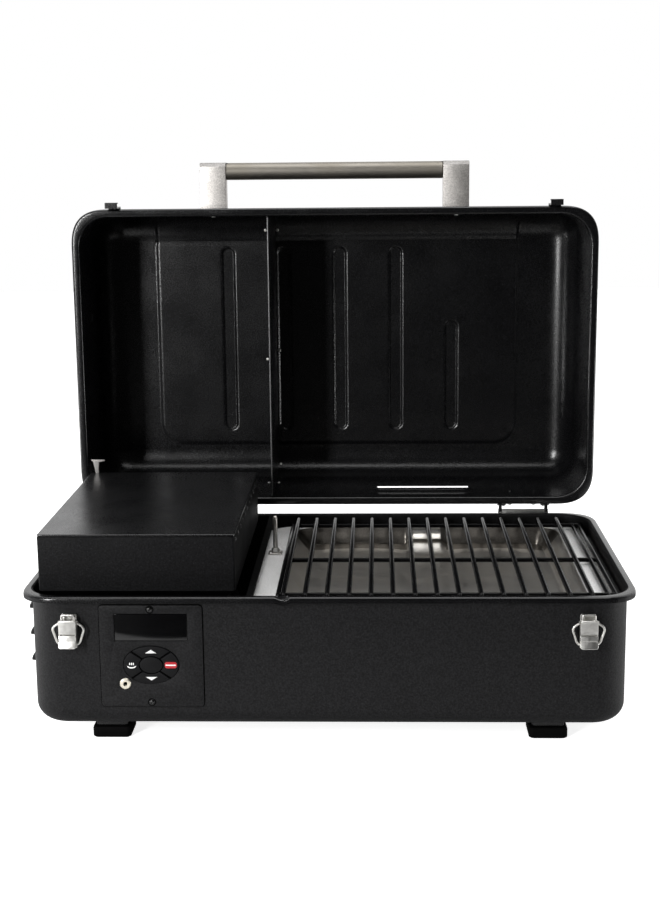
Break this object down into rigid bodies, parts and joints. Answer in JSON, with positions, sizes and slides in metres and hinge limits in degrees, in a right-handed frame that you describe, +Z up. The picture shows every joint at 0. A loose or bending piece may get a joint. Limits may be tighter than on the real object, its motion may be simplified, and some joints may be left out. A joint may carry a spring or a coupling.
{
  "type": "pellet smoker grill",
  "caption": "Table-top wood pellet smoker grill with a hinged lid, side pellet hopper, rod cooking grate, drip tray, control panel and draw latches.",
  "frame": {"origin": "on the ground under the middle of the open grill, 61 mm behind the centre of the tub's footprint", "axes": "+X to the cook's right along the grill's width, +Y to the back, +Z up; the front with the control panel faces -Y"},
  "size_m": [0.64, 0.5059, 0.599],
  "materials": {
    "black_coat": "fine-textured charcoal black powder coat",
    "satin_black": "smooth satin black paint",
    "stainless": "brushed stainless steel",
    "stainless_polished": "bright rolled stainless steel",
    "bright_nickel": "bright nickel plate",
    "zinc": "zinc plated steel",
    "enamel": "gloss black porcelain enamel",
    "black_plastic": "fine-grained black plastic",
    "dark_glass": "gloss black display lens",
    "rubber": "black rubber",
    "steel": "mill-finish steel",
    "cast_iron": "bare cast iron",
    "jack_ring": "pale plated ring"
  },
  "bodies": {
    "grill_base": {"base_tub": "black_coat", "divider_wall": "satin_black", "divider_seal": "rubber", "hopper_bin": "black_coat", "hopper_hinge_pin": "steel", "finger_screen": "steel", "auger_tube": "steel", "auger_motor": "steel", "fire_pot": "cast_iron", "igniter_rod": "stainless_polished", "heat_baffle": "steel", "fan_housing": "black_plastic", "fan_motor": "steel", "drip_tray": "stainless_polished", "grease_spout": "stainless_polished", "tray_rail": "satin_black", "temperature_probe": "stainless_polished", "control_panel": "black_coat", "display_window": "dark_glass", "controller_board": "black_plastic", "probe_jack": "jack_ring", "panel_screw_top": "zinc", "panel_screw_bottom": "zinc", "power_inlet": "black_plastic", "foot_pad_front_left": "rubber", "foot_bracket_front_left": "satin_black", "foot_pad_rear_left": "rubber", "foot_bracket_rear_left": "satin_black", "foot_pad_front_right": "rubber", "foot_bracket_front_right": "satin_black", "foot_pad_rear_right": "rubber", "foot_bracket_rear_right": "satin_black", "latch_base_left": "bright_nickel", "hinge_leaf_base_left": "zinc", "hinge_pin_left": "zinc", "latch_base_right": "bright_nickel", "hinge_leaf_base_right": "zinc", "hinge_pin_right": "zinc"},
    "lid": {"lid_shell": "black_coat", "lid_divider": "satin_black", "handle_bar": "stainless", "handle_post_left": "stainless", "latch_keeper_left": "satin_black", "hinge_leaf_lid_left": "zinc", "handle_post_right": "stainless", "latch_keeper_right": "satin_black", "hinge_leaf_lid_right": "zinc"},
    "hopper_cover": {"hopper_lid": "satin_black"},
    "grate": {"cooking_grate": "enamel"},
    "auger": {"auger_screw": "steel"},
    "impeller": {"fan_impeller": "black_plastic"},
    "button_up": {"button_up": "black_plastic"},
    "button_down": {"button_down": "black_plastic"},
    "button_left": {"button_left": "black_plastic"},
    "button_right": {"button_right": "black_plastic"},
    "button_centre": {"button_centre": "black_plastic"},
    "lever_left": {"latch_lever_left": "bright_nickel"},
    "bail_left": {"latch_bail_left": "bright_nickel"},
    "lever_right": {"latch_lever_right": "bright_nickel"},
    "bail_right": {"latch_bail_right": "bright_nickel"}
  },
  "joints": [
    {"name": "lid_hinge", "type": "hinge", "parent": "grill_base", "child": "lid", "pos_m": [0, 0.125, 0.175], "axis": [-1, 0, 0], "range_deg": [-90, 0]},
    {"name": "hopper_lid_hinge", "type": "hinge", "parent": "grill_base", "child": "hopper_cover", "pos_m": [-0.2, 0.098, 0.2165], "axis": [-1, 0, 0], "range_deg": [0, 90]},
    {"name": "grate_lift", "type": "slide", "parent": "grill_base", "child": "grate", "axis": [0, 0, 1], "range_m": [0, 0.06]},
    {"name": "auger_spin", "type": "hinge", "parent": "grill_base", "child": "auger", "pos_m": [-0.1, -0.061, 0.058], "axis": [1, 0, 0], "continuous": true},
    {"name": "impeller_spin", "type": "hinge", "parent": "grill_base", "child": "impeller", "pos_m": [-0.15, 0.046, 0.066], "axis": [0, 1, 0], "continuous": true},
    {"name": "button_up_press", "type": "slide", "parent": "grill_base", "child": "button_up", "axis": [0, 1, 0], "range_m": [0, 0.0012], "stiffness_N_per_m": 400},
    {"name": "button_down_press", "type": "slide", "parent": "grill_base", "child": "button_down", "axis": [0, 1, 0], "range_m": [0, 0.0012], "stiffness_N_per_m": 400},
    {"name": "button_left_press", "type": "slide", "parent": "grill_base", "child": "button_left", "axis": [0, 1, 0], "range_m": [0, 0.0012], "stiffness_N_per_m": 400},
    {"name": "button_right_press", "type": "slide", "parent": "grill_base", "child": "button_right", "axis": [0, 1, 0], "range_m": [0, 0.0012], "stiffness_N_per_m": 400},
    {"name": "button_centre_press", "type": "slide", "parent": "grill_base", "child": "button_centre", "axis": [0, 1, 0], "range_m": [0, 0.0012], "stiffness_N_per_m": 400},
    {"name": "lever_left_swing", "type": "hinge", "parent": "grill_base", "child": "lever_left", "pos_m": [-0.267, -0.244, 0.138], "axis": [-1, 0, 0], "range_deg": [0, 105]},
    {"name": "bail_left_swing", "type": "hinge", "parent": "lever_left", "child": "bail_left", "pos_m": [-0.267, -0.244, 0.115], "axis": [1, 0, 0], "range_deg": [0, 105]},
    {"name": "lever_right_swing", "type": "hinge", "parent": "grill_base", "child": "lever_right", "pos_m": [0.267, -0.244, 0.138], "axis": [-1, 0, 0], "range_deg": [0, 105]},
    {"name": "bail_right_swing", "type": "hinge", "parent": "lever_right", "child": "bail_right", "pos_m": [0.267, -0.244, 0.115], "axis": [1, 0, 0], "range_deg": [0, 105]}
  ],
  "couplings": [
    {"joint": "bail_left_swing", "follows": "lever_left_swing", "ratio": 1},
    {"joint": "bail_right_swing", "follows": "lever_right_swing", "ratio": 1}
  ]
}
